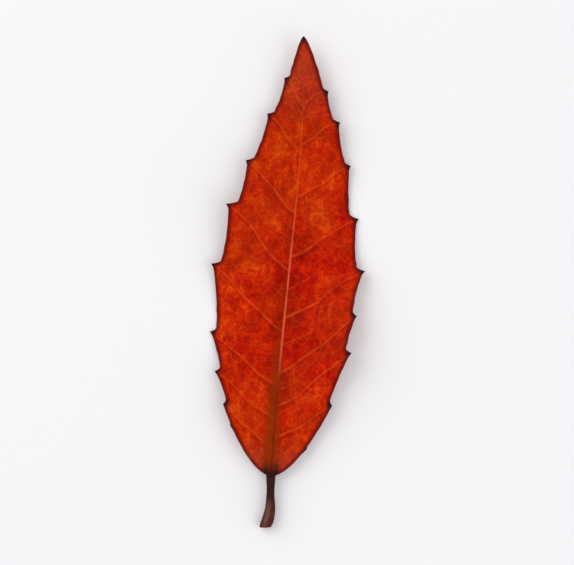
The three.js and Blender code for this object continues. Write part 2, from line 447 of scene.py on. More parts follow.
def vein_spacing(side, rows):
    """Distance along the midrib between the two side veins that a row lies between."""
    before = np.floor(rows - side.stagger) + side.stagger
    start, end = (midrib_station(np.clip(before + k, 0.0, TIP_ROW)) for k in (0, 1))
    return end - start


def distance_to(line, points):
    """Distance from each point of the plan to the nearest of a set of points."""
    tree = kdtree.KDTree(len(line))
    for i, (x, y) in enumerate(line):
        tree.insert((x, y, 0.0), i)
    tree.balance()
    return np.array([tree.find((x, y, 0.0))[2] for x, y in points])


def dense(line):
    """The same line with points close together."""
    gaps = np.hypot(*np.diff(line, axis=0).T)
    travel = np.concatenate([[0.0], np.cumsum(gaps)])
    at = np.arange(0.0, travel[-1], OUTLINE_STEP)
    return np.stack([np.interp(at, travel, line[:, k]) for k in (0, 1)], axis=1)


def crumple(points):
    """A gentle unevenness of the whole blade, from a few long waves in scattered directions."""
    draw = np.random.default_rng(SEED)
    height = np.zeros(len(points))
    for _ in range(CRUMPLE_WAVES):
        turn = draw.uniform(0, math.pi)
        length = draw.uniform(*CRUMPLE_LENGTHS)
        start = draw.uniform(0, 2 * math.pi)
        across = points @ np.array([math.cos(turn), math.sin(turn)])
        height += np.sin(2 * math.pi * across / length + start)
    return CRUMPLE * height / math.sqrt(CRUMPLE_WAVES)


def flush(station, midrib):
    """How much more orange, or redder where negative, the upper face is than elsewhere."""
    total = np.zeros_like(station)
    for along, across, length, width, amount in FLUSHES:
        total += amount * bell((station - along) / length) * bell((midrib - across) / width)
    return total


def half_grid(side, rows):
    """One half of the blade and stalk, from the midrib outwards, as arrays of rows by columns."""
    share = skin_shares(side, rows)
    station, reach = plan(side, rows, share)
    veins = vein_lines(side, rows, share, reach, vein_pitch(rows, station, reach))
    swelling = QUILTING * vein_spacing(side, rows) * np.sin(np.pi * (rows - side.stagger)) ** 2
    along = np.clip(station / BLADE_LENGTH, 0.0, 1.0)
    lift = WAVE_HEIGHT * (reach / HALF_WIDTH) ** 2
    return {
        **veins,
        "station": station,
        "midrib": side.sign * reach,
        "flush": flush(station, side.sign * reach),
        "quilt": arch(share) * swelling,
        "wave": -lift * np.cos(2 * np.pi * WAVES * (along - side.dip)),
    }


def distance_from_tips(points):
    """Distance from the points of the teeth and of the leaf, with smaller spots at the small points."""
    tips = [across_leaf(LEFT, BLADE_LENGTH, 0.0)]
    small_tips = []
    for side in (LEFT, RIGHT):
        tips += [across_leaf(side, *point) for point in side.points]
        small_tips.append(across_leaf(side, *base_point_end(side)))
    return np.minimum(distance_to(tips, points), distance_to(small_tips, points) + BASE_POINT_SPOT)


def leaf_grid():
    """The plan of the skin from the left margin to the right, and everything measured on it."""
    rows = skin_rows()
    left = half_grid(LEFT, rows)
    right = half_grid(RIGHT, rows)
    grid = {name: np.concatenate([left[name][:, :0:-1], right[name]], axis=1) for name in left}
    grid["x"] = midrib_line(grid["station"]) + grid["midrib"]
    points = np.stack([grid["x"], grid["station"]], axis=-1)
    shape = grid["x"].shape
    flat = points.reshape(-1, 2)

    on_blade = rows[:, 0] >= 0
    outline = np.concatenate([points[on_blade, 0], points[on_blade, -1][::-1]])
    edge = distance_to(dense(outline), flat).reshape(shape)
    clear_of_stalk = RIM_CLEAR_OF_STALK - RIM_CLEAR_SLOPE * np.maximum(grid["station"], 0.0)
    grid["edge"] = np.maximum(edge, clear_of_stalk)
    grid["tooth_tip"] = distance_from_tips(flat).reshape(shape)
    grid["crumple"] = crumple(flat).reshape(shape)
    return grid


def leaf_faces(grid):
    """Heights of the upper and the lower face over the plan."""
    station = grid["station"]
    reach = np.abs(grid["midrib"])
    edge = grid["edge"]
    along = np.clip(station / BLADE_LENGTH, 0.0, 1.0)
    from_cut = station + STALK_LENGTH
    on_blade = smooth(station, *STALK_FLATTENS)

    rim = 1.0 - np.clip(edge / EDGE_ROUNDING, 0.0, 1.0)
    rounding = EDGE_THINNEST + (1.0 - EDGE_THINNEST) * np.sqrt(1.0 - rim ** 2)
    bead = RIM_BEAD * bell((edge - RIM_BEAD_PLACE) / RIM_BEAD_WIDTH)
    bead = bead + TOOTH_BEAD * bell(grid["tooth_tip"] / TOOTH_BEAD_SPREAD)
    half = mix(STALK_EDGE, BLADE_HALF, on_blade) * rounding
    half = half + bead * on_blade * smooth(edge, 0.0, BEAD_CLEAR_OF_EDGE)

    fold = FOLD_SLOPE * (np.hypot(reach, FOLD_ROUNDING) - FOLD_ROUNDING)
    uneven = grid["crumple"] * smooth(reach, *CRUMPLE_CLEAR_OF_RIB)
    middle = curve_through(LIE, station) + fold + grid["wave"] + on_blade * (grid["quilt"] + uneven)
    middle = np.maximum(middle, half)

    across_rib = reach / rib_half_width(station)
    depth = rib_depth(station)
    size = mix(CUT_SIZE, 1.0, smooth(from_cut, 0.0, CUT_ROUNDING))
    round_side = np.sqrt(np.clip(1.0 - across_rib ** 2, 0.0, 1.0)) * size
    groove = RIB_GROOVE * on_blade * (1 - along) * bell(across_rib)
    on_stalk = smooth(from_cut, 0.0, STALK_GROOVE_RUN) * (1 - on_blade)
    groove = groove + STALK_GROOVE * on_stalk * bell(across_rib / STALK_GROOVE_WIDTH)

    strong = bell(grid["side_vein"]) * grid["side_vein_near"]
    weak = bell(grid["between_vein"]) * grid["between_vein_near"]
    inside = smooth(edge, *VEIN_RIM_CLEAR) * on_blade
    veins = np.maximum(strong, BETWEEN_STRENGTH * weak) * inside

    above = np.maximum(half, mix(depth, half, on_blade) * round_side)
    below = np.maximum(half + VEIN_RIDGE * veins, depth * round_side)
    top = middle + above - groove - VEIN_GROOVE * veins
    return top, np.maximum(middle - below, 0.0)


def add_scar(grid):
    """Sunken rings across the cut end of the stalk, in front of the first row."""
    first = {name: values[0] for name, values in grid.items()}
    middle_x = first["x"].mean()
    middle_z = (first["top"] + first["bottom"]).mean() / 2
    rings = []
    for size, depth in SCAR_RINGS:
        ring = dict(first)
        ring["x"] = mix(middle_x, first["x"], size)
        ring["y"] = mix(first["y"].mean(), first["y"], size) + depth
        ring["top"] = mix(middle_z, first["top"], size)
        ring["bottom"] = mix(middle_z, first["bottom"], size)
        ring["station"] = np.full_like(first["station"], SCAR_STATION)
        rings.append(ring)
    return {name: np.concatenate([[ring[name] for ring in rings], grid[name]]) for name in grid}


def skin_faces(count, columns):
    """Groups of faces: both sides, both walls, the strip that closes the scar, and the tip."""
    upper = np.arange(count * columns).reshape(count, columns)
    lower = upper + count * columns
    tip_over = 2 * count * columns
    tip_under = tip_over + 1

    def strip(*corners):
        return np.stack([corner.ravel() for corner in corners], axis=-1).tolist()

    over = strip(upper[:-1, :-1], upper[:-1, 1:], upper[1:, 1:], upper[1:, :-1])
    under = strip(lower[1:, 1:], lower[:-1, 1:], lower[:-1, :-1], lower[1:, :-1])
    right_wall = strip(lower[:-1, -1], lower[1:, -1], upper[1:, -1], upper[:-1, -1])
    left_wall = strip(lower[1:, 0], lower[:-1, 0], upper[:-1, 0], upper[1:, 0])
    scar = strip(lower[0, :-1], lower[0, 1:], upper[0, 1:], upper[0, :-1])
    fan_over = [(upper[-1, c], upper[-1, c + 1], tip_over) for c in range(columns - 1)]
    fan_under = [(lower[-1, c + 1], lower[-1, c], tip_under) for c in range(columns - 1)]
    tip_walls = [
        (lower[-1, -1], tip_under, tip_over, upper[-1, -1]),
        (tip_under, lower[-1, 0], upper[-1, 0], tip_over),
    ]
    return over, under, right_wall, left_wall, scar, fan_over, fan_under, tip_walls


def skin_points(grid):
    """Points of the upper face, the lower face and the tip, moved to the solid's place."""
    tip = across_leaf(LEFT, BLADE_LENGTH, 0.0)
    tip_z = LIE[-1][1]
    points = np.concatenate([
        *(np.stack([grid["x"], grid["y"], grid[z]], axis=-1).reshape(-1, 3) for z in ("top", "bottom")),
        [[*tip, tip_z + TIP_HALF], [*tip, tip_z - TIP_HALF]],
    ])
    low = Vector(cad_box[0]) / MM
    return points + np.array([low.x - points[:, 0].min(), low.y - points[:, 1].min(), 0.0])


def face_slots(faces, station):
    """Material slot of each face, in the order of the groups of faces."""
    on_stalk = station[1:] < STALK_COLOUR_ENDS
    wall = np.where(on_stalk[:, 0], STALK_SLOT, UPPER_SLOT)
    over = np.where(on_stalk[:, :-1], STALK_SLOT, UPPER_SLOT).ravel()
    under = np.where(on_stalk[:, :-1], STALK_SLOT, UNDER_SLOT).ravel()
    slots = [over, under, wall, wall]
    for group, slot in zip(faces[len(slots):], (STALK_SLOT, UPPER_SLOT, UNDER_SLOT, UPPER_SLOT)):
        slots.append(np.full(len(group), slot))
    return np.concatenate(slots).astype(np.int32)


def leaf_mesh():
    """The closed skin of the leaf, with what the materials need stored at its points."""
    grid = leaf_grid()
    grid["top"], grid["bottom"] = leaf_faces(grid)
    near_cut = 1.0 - smooth(grid["station"] + STALK_LENGTH, 0.0, CUT_SLANT_RUN)
    slant = CUT_SLANT * np.maximum(grid["midrib"] - CUT_SLANT_START, 0.0) * near_cut
    grid["y"] = grid["station"] + slant
    grid = add_scar(grid)

    faces = skin_faces(*grid["x"].shape)
    mesh = bpy.data.meshes.new("leaf_skin")
    mesh.from_pydata((skin_points(grid) * MM).tolist(), [], [face for group in faces for face in group])
    mesh.polygons.foreach_set("material_index", face_slots(faces, grid["station"]))
    mesh.polygons.foreach_set("use_smooth", np.ones(len(mesh.polygons), dtype=bool))
    for name in MEASURES:
        values = grid[name].ravel()
        at_tip = BLADE_LENGTH if name == "station" else 0.0
        layer = mesh.attributes.new(name, "FLOAT", "POINT")
        layer.data.foreach_set("value", np.concatenate([values, values, [at_tip, at_tip]]))
    mesh.validate()
    mesh.update()
    return mesh


def tint(red, green, blue):
    """A colour as the eye sees it, 0 to 255, turned into the linear values that a shader takes."""
    parts = [c / 255.0 for c in (red, green, blue)]
    return tuple(c / 12.92 if c <= 0.04045 else ((c + 0.055) / 1.055) ** 2.4 for c in parts) + (1.0,)


# Colours of the upper face, from the reddest tissue to the most orange
BLADE_SHADES = (
    (0.0, tint(138, 6, 0)), (0.3, tint(170, 12, 0)), (0.55, tint(192, 25, 0)),
    (0.8, tint(210, 46, 0)), (1.0, tint(224, 78, 10)),
)
OLIVE_BROWN = tint(152, 56, 0)
DULL_BROWN = tint(150, 76, 54)
NET_RED = tint(136, 12, 0)
# The two band colours beside the midrib are partly its own colour and partly painted shade on its shaded
# left flank
BAND_RED_AND_SHADE = tint(140, 26, 0)
BAND_BROWN_AND_SHADE = tint(130, 46, 0)
RIB_DARK = tint(92, 24, 4)
# Pink of the midrib's line: partly its pale colour and partly a painted highlight on its lit flank
VEIN_PINK_AND_HIGHLIGHT = tint(222, 92, 60)
VEIN_ORANGE = tint(212, 74, 20)
RIM_MAROON = tint(96, 14, 14)
THORN_BROWN = tint(52, 18, 20)
FRECKLE_BROWN = tint(90, 24, 8)
FLECK_TAN = tint(232, 150, 92)

# Colours of the underside and of the stalk
UNDERSIDE_TAN = tint(188, 98, 56)
UNDERSIDE_RED = tint(168, 62, 34)
UNDERSIDE_VEIN = tint(206, 142, 96)
STALK_DARK = tint(48, 19, 15)
STALK_PURPLE = tint(70, 31, 25)
STALK_RED = tint(92, 45, 36)
STALK_GREY = tint(150, 110, 98)
SCAR_TAN = tint(158, 118, 88)
SCAR_BROWN = tint(96, 62, 44)

# Upper face: each change comes in from one station to another, some from one value to another
BASE_STRETCH = (22.0, 4.0)
TIP_STRETCH = (44.0, 66.0)
DULL_BASE = (6.5, 2.0)
DULL_TIP = (62.0, 73.0)
DEEP_RED_MIDRIB = (50.0, 40.0)
# The band beside the midrib, red and then brown, is partly painted shade on its shaded left flank
RED_BAND = (52.0, 36.0)
BROWN_BAND = (30.0, 14.0)
BAND_LEFT_EDGE = (0.0, 50.0, -1.1, -0.5)
BAND_RIGHT_EDGE = (2.0, 24.0, 1.3, 0.4)
# Where the midrib's line turns pink, partly as a painted highlight on its lit flank
PINK_LINE = (14.0, 24.0)
ORANGE_LINE = (44.0, 50.0)
CLEAR_ABOVE_BASE = (14.0, 28.0, 0.6, 1.0)
CLEAR_BELOW_TIP = (75.0, 50.0, 0.3, 1.0)

# Upper face: softness of the left half and of the midrib's band, which is partly painted shade, and how
# streaks break up the lines
LEFT_HALF = (0.4, -0.4)
BAND_LEFT_FADE = (-0.8, 0.9)
BAND_RIGHT_FADE = (0.9, -0.5)
BROKEN_MIDRIB = (0.0, 0.7, 0.45, 0.85)
BROKEN_VEINS = (0.1, 0.9, 0.26, 0.56)

# Stalk: where it turns browner, and where its pale flank lies across and along it
BROWNER_END = (-2.5, -7.5)
FLANK_PLACE = -0.3
FLANK_WIDTH = (0.65, 0.05)
FLANK_START = (-3.5, -6.5)
FLANK_END = (-9.4, -7.8, 0.4, 1.0)

# Mottling: squeeze of the streaks in each direction, noise that counts as none and as full, and specks
TISSUE_STREAKS = (1.0, 0.4, 1.0)
STALK_STREAKS = (5.0, 0.5, 5.0)
STALK_STREAK_RANGE = (0.35, 0.65)
PATCH_RANGE = (0.42, 0.66)
BLOTCH_RANGE = (0.3, 0.7)
GRAIN_RANGE = (0.25, 0.75)
SPECK_SIZE = 0.13
SPECK_CORE = 0.45

# Lines and tissue along the veins: taper of the midrib's line between two stations, and where each mark
# fades, in millimetres beside the midrib and otherwise in half widths of the vein
MIDRIB_LINE_TAPER = (5.0, 75.0, 1.2, 0.6)
MIDRIB_LINE_FADE = (0.4, 1.6)
BESIDE_MIDRIB = (0.3, 4.5)
VEIN_LINE_FADE = (0.3, 1.3)
BETWEEN_LINE_STRENGTH = 0.6
BESIDE_VEINS = (1.0, 3.5)
# Painted shade on the basal flank of each side vein: where it comes in and where it goes out, in half
# widths of the vein
SHADE_BELOW_VEINS = ((-5.0, -2.0), (-0.4, -1.4))

# Net, rim and fine relief: sway of the cells, core of their lines and rise from their edges, and fading
# of the rim in shares of its width and of the dry points in millimetres
CELL_SWAY = 0.7
CELL_LINE_CORE = 0.25
CELL_RISE = (0.0, 0.3)
RIM_FADE = (0.4, 1.4)
POINT_FADE = (0.5, 1.5)
BUMP_STRENGTH = 0.6

# Sockets of a mix node that mixes colours
MIX_FACTOR, MIX_A, MIX_B, MIX_RESULT = 0, 6, 7, 2


def place(tree, kind, settings=None, inputs=None):
    """Adds a node; an input is given by name or number, as a value or as another node's output."""
    node = tree.nodes.new(kind)
    for name, value in (settings or {}).items():
        setattr(node, name, value)
    for name, value in (inputs or {}).items():
        if isinstance(value, bpy.types.NodeSocket):
            tree.links.new(value, node.inputs[name])
        else:
            node.inputs[name].default_value = value
    return node


def measure(tree, name):
    """A value stored at the points of the skin."""
    return place(tree, "ShaderNodeAttribute", {"attribute_name": name}).outputs["Fac"]


def calc(tree, operation, *values, clamp=False):
    """One step of arithmetic."""
    settings = {"operation": operation, "use_clamp": clamp}
    return place(tree, "ShaderNodeMath", settings, dict(enumerate(values))).outputs[0]


def times(tree, *values):
    """The product of several values."""
    product = values[0]
    for value in values[1:]:
        product = calc(tree, "MULTIPLY", product, value)
    return product


def weighted(tree, *terms, start=0.0):
    """Start plus each value times its weight, kept between 0 and 1."""
    total = start
    for value, weight in terms:
        total = calc(tree, "MULTIPLY_ADD", value, weight, total)
    return calc(tree, "ADD", total, 0.0, clamp=True)


def between(tree, value, low, high, start=0.0, end=1.0):
    """A smooth change from start to end as the value goes from low to high."""
    inputs = {"Value": value, "From Min": low, "From Max": high, "To Min": start, "To Max": end}
    return place(tree, "ShaderNodeMapRange", {"interpolation_type": "SMOOTHSTEP"}, inputs).outputs[0]


def by_station(tree, stretch):
    """A change from one station to another."""
    return between(tree, measure(tree, "station"), *stretch)


def fade(tree, value, near, far):
    """1 up to near, 0 from far on, and a smooth fall between."""
    return between(tree, value, near, far, 1.0, 0.0)


def blend(tree, factor, a, b, kind="MIX"):
    """Colour a turned into colour b by the factor."""
    settings = {"data_type": "RGBA", "blend_type": kind, "clamp_factor": True}
    inputs = {MIX_FACTOR: factor, MIX_A: a, MIX_B: b}
    return place(tree, "ShaderNodeMix", settings, inputs).outputs[MIX_RESULT]


def tinge(tree, colour, tone, *masks, by):
    """The colour turned towards a tone by the given share where every mask is full."""
    return blend(tree, times(tree, *masks, by), colour, tone)


def toned(tree, colour, tone, spread):
    """The colour, a little lighter or darker from cell to cell."""
    value = calc(tree, "MULTIPLY_ADD", tone, spread, 1.0 - spread / 2)
    grey = place(tree, "ShaderNodeCombineColor", None, {0: value, 1: value, 2: value}).outputs[0]
    return blend(tree, 1.0, colour, grey, "MULTIPLY")


def shades(tree, factor, stops):
    """A run of colours by the factor."""
    node = place(tree, "ShaderNodeValToRGB", None, {"Fac": factor})
    elements = node.color_ramp.elements
    for element, (position, colour) in zip(elements, (stops[0], stops[-1])):
        element.position = position
        element.color = colour
    for position, colour in stops[1:-1]:
        elements.new(position).color = colour
    return node.outputs["Color"]


def red_part(tree, colour):
    return place(tree, "ShaderNodeSeparateColor", None, {0: colour}).outputs[0]


def millimetres(tree, squeeze=(1.0, 1.0, 1.0)):
    """The place of a point on the leaf, in millimetres, with each direction squeezed."""
    where = place(tree, "ShaderNodeTexCoord").outputs["Object"]
    inputs = {0: where, 1: tuple(s / MM for s in squeeze)}
    return place(tree, "ShaderNodeVectorMath", {"operation": "MULTIPLY"}, inputs).outputs[0]


def noise(tree, vector, scale, detail=2.0, rough=0.5, distortion=0.0):
    inputs = {
        "Vector": vector, "Scale": scale, "Detail": detail, "Roughness": rough, "Distortion": distortion,
    }
    return place(tree, "ShaderNodeTexNoise", None, inputs).outputs[0]


def wandering(tree, vector, **grain):
    """A noise that wanders about 1."""
    return calc(tree, "ADD", noise(tree, vector, **grain), 0.5)


def new_group(name, *inputs):
    """A node group with named number inputs, and those inputs."""
    group = bpy.data.node_groups.new(name, "ShaderNodeTree")
    for label in inputs:
        group.interface.new_socket(label, in_out="INPUT", socket_type="NodeSocketFloat")
    return group, group.nodes.new("NodeGroupInput").outputs


def give_outputs(group, values):
    """Ends a node group with its named outputs."""
    for label in values:
        group.interface.new_socket(label, in_out="OUTPUT", socket_type="NodeSocketFloat")
    outputs = group.nodes.new("NodeGroupOutput").inputs
    for label, value in values.items():
        group.links.new(value, outputs[label])
    return group


def use_group(tree, group, inputs):
    return place(tree, "ShaderNodeGroup", {"node_tree": group}, inputs).outputs


def mottling_group():
    """Wide patches, blotches, streaks, grain and specks of ageing leaf tissue."""
    group, given = new_group("Leaf mottling", "Blotch size", "Freckles", "Flecks")
    where = millimetres(group)
    fine = calc(group, "DIVIDE", 1.0, given["Blotch size"])
    patches = noise(group, where, scale=0.1)
    blotches = noise(group, where, scale=fine, detail=5.0, rough=0.66, distortion=0.8)
    lengthwise = millimetres(group, TISSUE_STREAKS)
    streaks = noise(group, lengthwise, scale=0.6, detail=4.0, rough=0.65, distortion=0.6)
    grain = noise(group, where, scale=1.7, detail=4.0, rough=0.7)

    spots = place(group, "ShaderNodeTexVoronoi", None, {"Vector": where, "Scale": 0.33}).outputs
    size = times(group, noise(group, where, scale=0.8), SPECK_SIZE)
    specks = between(group, spots["Distance"], size, times(group, size, SPECK_CORE))
    lot = red_part(group, spots["Color"])
    dark = calc(group, "LESS_THAN", lot, given["Freckles"])
    pale = calc(group, "GREATER_THAN", lot, calc(group, "SUBTRACT", 1.0, given["Flecks"]))
    return give_outputs(group, {
        "Patches": between(group, patches, *PATCH_RANGE),
        "Blotches": between(group, blotches, *BLOTCH_RANGE),
        "Streaks": between(group, streaks, *BLOTCH_RANGE),
        "Grain": between(group, grain, *GRAIN_RANGE),
        "Freckles": times(group, specks, dark),
        "Flecks": times(group, specks, pale),
    })


def veins_group():
    """Lines along the veins, the tissue beside the midrib and the side veins, and painted shade on the
    basal flank of each side vein.
    """
    group, given = new_group("Leaf veins", "Midrib half width")
    from_midrib = calc(group, "ABSOLUTE", measure(group, "midrib"))
    taper = by_station(group, MIDRIB_LINE_TAPER)
    half_width = times(group, given["Midrib half width"], taper)
    narrow, wide = (times(group, half_width, share) for share in MIDRIB_LINE_FADE)

    ahead = measure(group, "side_vein")
    near = measure(group, "side_vein_near")
    strong = calc(group, "ABSOLUTE", ahead)
    strong_line = times(group, fade(group, strong, *VEIN_LINE_FADE), near)
    weak = calc(group, "ABSOLUTE", measure(group, "between_vein"))
    weak_near = measure(group, "between_vein_near")
    weak_line = times(group, fade(group, weak, *VEIN_LINE_FADE), weak_near, BETWEEN_LINE_STRENGTH)
    # Painted shade on the basal flank of each side vein
    start, end = (between(group, ahead, *limits) for limits in SHADE_BELOW_VEINS)
    return give_outputs(group, {
        "Midrib": fade(group, from_midrib, narrow, wide),
        "Side veins": calc(group, "MAXIMUM", strong_line, weak_line),
        "Beside midrib": fade(group, from_midrib, *BESIDE_MIDRIB),
        "Beside veins": times(group, fade(group, strong, *BESIDE_VEINS), near),
        "Painted shade below veins": times(group, start, end, near),
    })


def cells_group():
    """A net of veins round small cells, each with a tone of its own."""
    group, given = new_group("Leaf cells", "Cell size", "Line width")
    where = millimetres(group)
    waver = {"Vector": where, "Scale": 0.9, "Detail": 2.0}
    sway = place(group, "ShaderNodeTexNoise", None, waver).outputs["Color"]
    swayed = {0: sway, 1: (CELL_SWAY,) * 3, 2: where}
    moved = place(group, "ShaderNodeVectorMath", {"operation": "MULTIPLY_ADD"}, swayed).outputs[0]
    cell = {"Vector": moved, "Scale": calc(group, "DIVIDE", 1.0, given["Cell size"])}
    edge = place(group, "ShaderNodeTexVoronoi", {"feature": "DISTANCE_TO_EDGE"}, cell).outputs["Distance"]
    edge_mm = times(group, edge, given["Cell size"])
    core = times(group, given["Line width"], CELL_LINE_CORE)
    colour = place(group, "ShaderNodeTexVoronoi", None, cell).outputs["Color"]
    return give_outputs(group, {
        "Borders": fade(group, edge_mm, core, given["Line width"]),
        "Tone": red_part(group, colour),
        "Height": between(group, edge, *CELL_RISE),
    })


def rim_group():
    """The hard dark rim of the blade and the dry points of its teeth."""
    group, given = new_group("Leaf rim", "Rim width")
    where = millimetres(group)
    width = times(group, given["Rim width"], wandering(group, where, scale=0.5, detail=3.0))
    inner, outer = (times(group, width, share) for share in RIM_FADE)
    tip = times(group, measure(group, "tooth_tip"), wandering(group, where, scale=1.2))
    return give_outputs(group, {
        "Rim": fade(group, measure(group, "edge"), inner, outer),
        "Points": fade(group, tip, *POINT_FADE),
    })


def new_material(name):
    material = bpy.data.materials.new(name)
    material.use_nodes = True
    tree = material.node_tree
    return material, tree, tree.nodes["Principled BSDF"]


def finish_shader(tree, shader, colour, rough, height, bump_mm, specular):
    """Joins colour, roughness and fine relief to the material's shader."""
    relief = {"Strength": BUMP_STRENGTH, "Distance": bump_mm * MM, "Height": height}
    bump = place(tree, "ShaderNodeBump", None, relief)
    tree.links.new(colour, shader.inputs["Base Color"])
    tree.links.new(rough, shader.inputs["Roughness"])
    tree.links.new(bump.outputs["Normal"], shader.inputs["Normal"])
    shader.inputs["Specular IOR Level"].default_value = specular


def into_stalk(tree, colour, tone, stretch, width):
    """The colour running into the stalk's tone along the midrib."""
    near_stalk = by_station(tree, stretch)
    on_rib = between(tree, calc(tree, "ABSOLUTE", measure(tree, "midrib")), *width)
    return blend(tree, times(tree, near_stalk, on_rib), colour, tone)


def upper_tissue(tree, mottling, veins):
    """Red to orange tissue, browner on the left half, duller at either end of the blade, and redder below
    the side veins as painted shade on their basal flanks.
    """
    flushed = measure(tree, "flush")
    left_half = between(tree, measure(tree, "midrib"), *LEFT_HALF)
    at_base = by_station(tree, BASE_STRETCH)
    beside_midrib = times(tree, veins["Beside midrib"], by_station(tree, DEEP_RED_MIDRIB))
    # Below the side veins the tissue turns redder as painted shade on their basal flanks
    orange = weighted(
        tree,
        (mottling["Blotches"], 0.54), (mottling["Streaks"], 0.34), (mottling["Grain"], 0.34),
        (left_half, 0.12), (at_base, 0.12), (flushed, 1.0),
        (beside_midrib, -0.18), (veins["Beside veins"], -0.04), (veins["Painted shade below veins"], -0.16),
        start=-0.1,
    )
    olive = weighted(
        tree,
        (mottling["Patches"], 0.22), (left_half, 0.12), (by_station(tree, TIP_STRETCH), 0.16),
        (at_base, 0.14), (flushed, 0.6),
    )
    dull = calc(tree, "MAXIMUM", by_station(tree, DULL_TIP), by_station(tree, DULL_BASE))
    colour = blend(tree, olive, shades(tree, orange, BLADE_SHADES), OLIVE_BROWN)
    return tinge(tree, colour, DULL_BROWN, dull, by=0.28)


def midrib_band_and_shade(tree, colour, mottling):
    """A ragged band along the midrib, red in the middle of the blade and brown towards the base: partly
    the midrib's own colour and partly painted shade on its shaded left flank.
    """
    ragged = calc(tree, "ADD", mottling["Grain"], measure(tree, "midrib"))
    past_left = calc(tree, "SUBTRACT", ragged, by_station(tree, BAND_LEFT_EDGE))
    past_right = calc(tree, "SUBTRACT", ragged, by_station(tree, BAND_RIGHT_EDGE))
    band_and_shade = times(
        tree,
        between(tree, past_left, *BAND_LEFT_FADE),
        between(tree, past_right, *BAND_RIGHT_FADE),
    )
    colour = tinge(tree, colour, BAND_RED_AND_SHADE, band_and_shade, by_station(tree, RED_BAND), by=0.42)
    return tinge(tree, colour, BAND_BROWN_AND_SHADE, band_and_shade, by_station(tree, BROWN_BAND), by=0.64)


def midrib_stroke(tree, colour, mottling, veins):
    """The line of the midrib: dark near the base, pink along the middle and orange above it; the pink is
    partly the midrib's pale colour and partly a painted highlight on its lit flank.
    """
    line = blend(tree, by_station(tree, PINK_LINE), RIB_DARK, VEIN_PINK_AND_HIGHLIGHT)
    line = blend(tree, by_station(tree, ORANGE_LINE), line, VEIN_ORANGE)
    clear = times(
        tree,
        by_station(tree, CLEAR_ABOVE_BASE),
        by_station(tree, CLEAR_BELOW_TIP),
        between(tree, mottling["Streaks"], *BROKEN_MIDRIB),
    )
    return tinge(tree, colour, line, veins["Midrib"], by=clear)


def upper_face_material(groups):
    """Red to orange upper face with a net of fine veins, a band along the midrib that is partly painted
    shade, a midrib line that is partly a painted highlight, and a dark rim.
    """
    material, tree, shader = new_material("leaf_upper_face")
    mottling = use_group(tree, groups["mottling"], {"Blotch size": 3.6, "Freckles": 0.3, "Flecks": 0.04})
    veins = use_group(tree, groups["veins"], {"Midrib half width": 0.16})
    cells = use_group(tree, groups["cells"], {"Cell size": 0.62, "Line width": 0.07})
    net = use_group(tree, groups["cells"], {"Cell size": 2.3, "Line width": 0.12})
    rim = use_group(tree, groups["rim"], {"Rim width": 0.7})

    colour = upper_tissue(tree, mottling, veins)
    colour = toned(tree, colour, cells["Tone"], spread=0.26)
    colour = toned(tree, colour, net["Tone"], spread=0.1)
    colour = tinge(tree, colour, NET_RED, cells["Borders"], by=0.34)
    colour = tinge(tree, colour, VEIN_ORANGE, net["Borders"], by=0.2)
    vein_strength = between(tree, mottling["Streaks"], *BROKEN_VEINS)
    colour = tinge(tree, colour, VEIN_ORANGE, veins["Side veins"], by=vein_strength)
    # Band beside the midrib: its own colour with painted shade on its shaded left flank
    colour = midrib_band_and_shade(tree, colour, mottling)
    # Line of the midrib, with a painted highlight on its lit flank
    colour = midrib_stroke(tree, colour, mottling, veins)
    colour = tinge(tree, colour, FRECKLE_BROWN, mottling["Freckles"], by=0.6)
    colour = tinge(tree, colour, FLECK_TAN, mottling["Flecks"], by=0.6)
    colour = tinge(tree, colour, RIM_MAROON, rim["Rim"], by=0.8)
    colour = tinge(tree, colour, THORN_BROWN, rim["Points"], by=0.9)
    colour = into_stalk(tree, colour, STALK_DARK, stretch=(3.4, -0.1), width=(2.4, 0.8))

    rough = weighted(tree, (mottling["Grain"], 0.16), (rim["Rim"], 0.1), start=0.46)
    height = weighted(tree, (cells["Height"], 0.6), (mottling["Grain"], 0.4))
    finish_shader(tree, shader, colour, rough, height, bump_mm=0.03, specular=0.03)
    return material


def underside_material(groups):
    """Paler, duller underside whose raised veins are lighter than the tissue between them."""
    material, tree, shader = new_material("leaf_underside")
    mottling = use_group(tree, groups["mottling"], {"Blotch size": 6.0, "Freckles": 0.4, "Flecks": 0.0})
    veins = use_group(tree, groups["veins"], {"Midrib half width": 0.6})
    cells = use_group(tree, groups["cells"], {"Cell size": 0.55, "Line width": 0.07})
    net = use_group(tree, groups["cells"], {"Cell size": 2.3, "Line width": 0.16})
    rim = use_group(tree, groups["rim"], {"Rim width": 0.4})

    warm = weighted(tree, (mottling["Streaks"], 0.4), (mottling["Blotches"], 0.5), start=0.05)
    colour = blend(tree, warm, UNDERSIDE_RED, UNDERSIDE_TAN)
    colour = toned(tree, colour, cells["Tone"], spread=0.2)
    lines = calc(tree, "MAXIMUM", veins["Side veins"], times(tree, net["Borders"], 0.6))
    lines = calc(tree, "MAXIMUM", lines, times(tree, cells["Borders"], 0.25))
    colour = tinge(tree, colour, UNDERSIDE_VEIN, lines, by=0.6)
    colour = tinge(tree, colour, UNDERSIDE_VEIN, veins["Midrib"], by=0.85)
    colour = tinge(tree, colour, FRECKLE_BROWN, mottling["Freckles"], by=0.6)
    colour = tinge(tree, colour, RIM_MAROON, rim["Rim"], by=0.7)
    colour = tinge(tree, colour, THORN_BROWN, rim["Points"], by=0.85)
    colour = into_stalk(tree, colour, STALK_PURPLE, stretch=(9.0, -0.2), width=(1.4, 0.7))

    rough = weighted(tree, (mottling["Grain"], 0.15), start=0.62)
    height = weighted(tree, (net["Borders"], 0.5), (cells["Borders"], 0.3), (mottling["Grain"], 0.3))
    finish_shader(tree, shader, colour, rough, height, bump_mm=0.03, specular=0.2)
    return material


